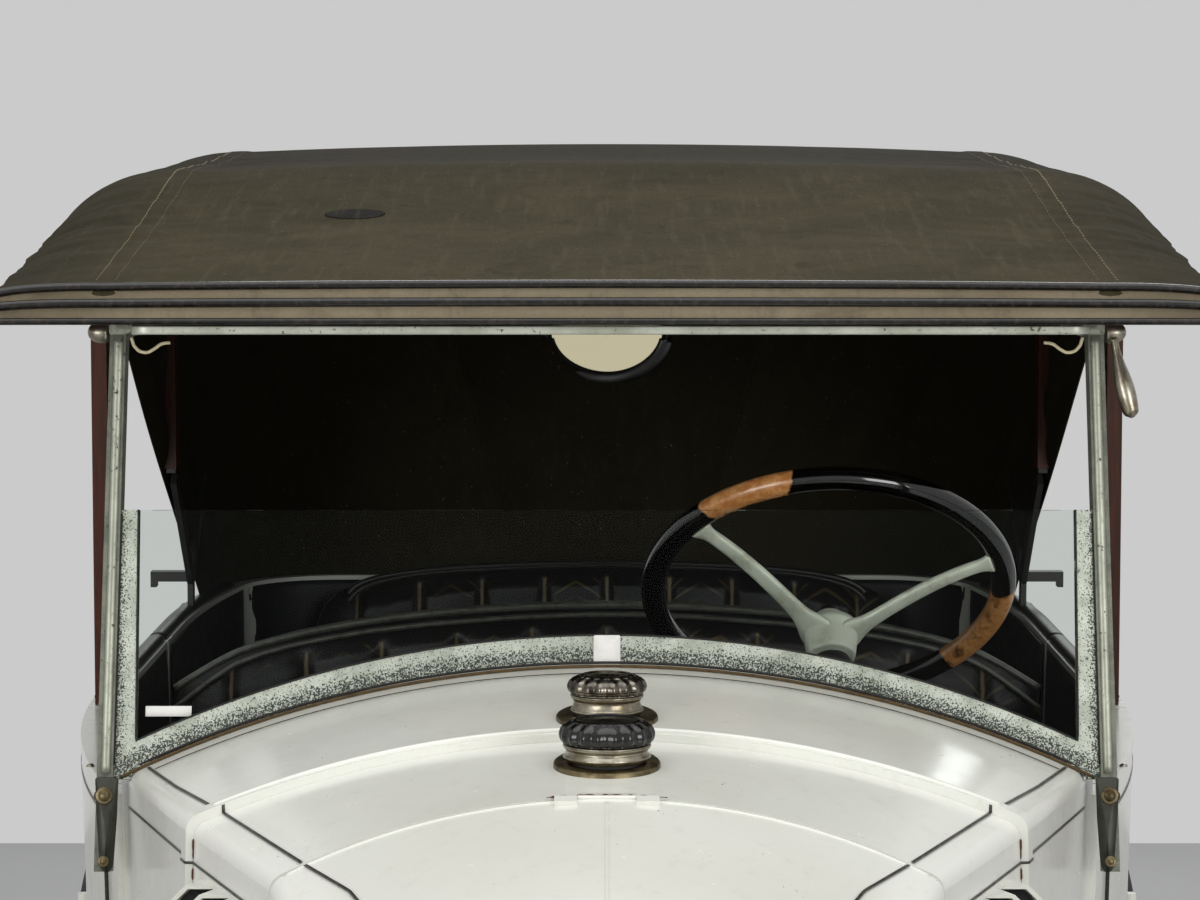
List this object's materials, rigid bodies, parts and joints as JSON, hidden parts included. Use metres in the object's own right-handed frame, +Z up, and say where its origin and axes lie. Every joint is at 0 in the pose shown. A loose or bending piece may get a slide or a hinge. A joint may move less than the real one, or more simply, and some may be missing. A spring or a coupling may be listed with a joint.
{
  "type": "vintage open touring car",
  "caption": "Vintage open touring car: sloping bonnet with the radiator behind the engine, cloth hood, swing-in upper windscreen, side doors, disc wheels, left-hand steering.",
  "frame": {"origin": "on the ground at the middle of the car's box", "axes": "+X to the car's left, +Y to its rear, +Z up; the car faces -Y"},
  "size_m": [1.48, 3.72, 1.7868],
  "materials": {
    "cream_enamel": "gloss",
    "wheel_enamel": "gloss",
    "black_enamel": "gloss",
    "chassis_black": "satin",
    "board_rubber": "ribbed",
    "engine_iron": "rough",
    "radiator_black": "satin",
    "tyre_rubber": "matt",
    "cap_metal": "aged nickel over brass",
    "dash_wood": "varnished",
    "floor_wood": "oiled",
    "bow_wood": "varnished",
    "seat_leather": "worn",
    "screen_zinc": "tarnished zinc",
    "clear_glass": "polished",
    "hood_canvas": "faded canvas",
    "wheel_rim_black": "polished, worn through in places",
    "lamp_nickel": "polished nickel"
  },
  "bodies": {
    "car": {"chassis_frame": "chassis_black", "road_springs": "chassis_black", "front_axle": "chassis_black", "rear_axle": "chassis_black", "engine": "engine_iron", "radiator": "radiator_black", "spare_wheel": "wheel_enamel", "spare_tyre": "tyre_rubber", "scuttle": "cream_enamel", "radiator_cowl": "cream_enamel", "filler_caps": "cap_metal", "body_tub": "cream_enamel", "floor": "floor_wood", "dashboard": "dash_wood", "front_cushion": "seat_leather", "front_back": "seat_leather", "rear_cushion": "seat_leather", "rear_back": "seat_leather", "windscreen_frame": "screen_zinc", "upper_pane": "screen_zinc", "glass_panes": "clear_glass", "hood_fabric": "hood_canvas", "hood_bows": "bow_wood", "hood_irons": "chassis_black", "steering_column": "chassis_black", "front_wings": "black_enamel", "rear_wings": "black_enamel", "running_boards": "board_rubber", "headlamps": "lamp_nickel"},
    "steering": {"steering_wheel": "wheel_rim_black"},
    "knuckle_left": {"knuckle_left": "chassis_black"},
    "knuckle_right": {"knuckle_right": "chassis_black"},
    "wheel_front_left": {"wheel_front_left": "wheel_enamel", "tyre_front_left": "tyre_rubber"},
    "wheel_front_right": {"wheel_front_right": "wheel_enamel", "tyre_front_right": "tyre_rubber"},
    "wheel_rear_left": {"wheel_rear_left": "wheel_enamel", "tyre_rear_left": "tyre_rubber"},
    "wheel_rear_right": {"wheel_rear_right": "wheel_enamel", "tyre_rear_right": "tyre_rubber"},
    "door_front_left": {"door_front_left": "cream_enamel"},
    "door_front_right": {"door_front_right": "cream_enamel"},
    "door_rear_left": {"door_rear_left": "cream_enamel"},
    "door_rear_right": {"door_rear_right": "cream_enamel"},
    "bonnet": {"bonnet": "cream_enamel"}
  },
  "joints": [
    {"name": "steering_wheel_turn", "type": "hinge", "parent": "car", "child": "steering", "pos_m": [0.248, 0.14, 1.29], "axis": [0, 0.6947, 0.7193], "range_deg": [-360, 360]},
    {"name": "steer_left", "type": "hinge", "parent": "car", "child": "knuckle_left", "pos_m": [0.515, -1.45, 0.365], "axis": [0, 0, 1], "range_deg": [-28, 28]},
    {"name": "spin_front_left", "type": "hinge", "parent": "knuckle_left", "child": "wheel_front_left", "pos_m": [0.61, -1.45, 0.365], "axis": [1, 0, 0], "continuous": true},
    {"name": "spin_rear_left", "type": "hinge", "parent": "car", "child": "wheel_rear_left", "pos_m": [0.61, 1.3, 0.365], "axis": [1, 0, 0], "continuous": true},
    {"name": "open_front_left", "type": "hinge", "parent": "car", "child": "door_front_left", "pos_m": [0.62075, 0.295, 0.88], "axis": [0, 0, 1], "range_deg": [0, 70]},
    {"name": "open_rear_left", "type": "hinge", "parent": "car", "child": "door_rear_left", "pos_m": [0.62347, 0.349, 0.88], "axis": [0, 0, -1], "range_deg": [0, 70]},
    {"name": "steer_right", "type": "hinge", "parent": "car", "child": "knuckle_right", "pos_m": [-0.515, -1.45, 0.365], "axis": [0, 0, 1], "range_deg": [-28, 28]},
    {"name": "spin_front_right", "type": "hinge", "parent": "knuckle_right", "child": "wheel_front_right", "pos_m": [-0.61, -1.45, 0.365], "axis": [1, 0, 0], "continuous": true},
    {"name": "spin_rear_right", "type": "hinge", "parent": "car", "child": "wheel_rear_right", "pos_m": [-0.61, 1.3, 0.365], "axis": [1, 0, 0], "continuous": true},
    {"name": "open_front_right", "type": "hinge", "parent": "car", "child": "door_front_right", "pos_m": [-0.62075, 0.295, 0.88], "axis": [0, 0, -1], "range_deg": [0, 70]},
    {"name": "open_rear_right", "type": "hinge", "parent": "car", "child": "door_rear_right", "pos_m": [-0.62347, 0.349, 0.88], "axis": [0, 0, 1], "range_deg": [0, 70]},
    {"name": "open_bonnet", "type": "hinge", "parent": "car", "child": "bonnet", "pos_m": [0, -0.7825, 1.224], "axis": [-1, 0, 0], "range_deg": [0, 55]}
  ],
  "couplings": [
    {"joint": "steer_left", "follows": "steering_wheel_turn", "ratio": 0.0777},
    {"joint": "steer_right", "follows": "steering_wheel_turn", "ratio": 0.0777}
  ]
}
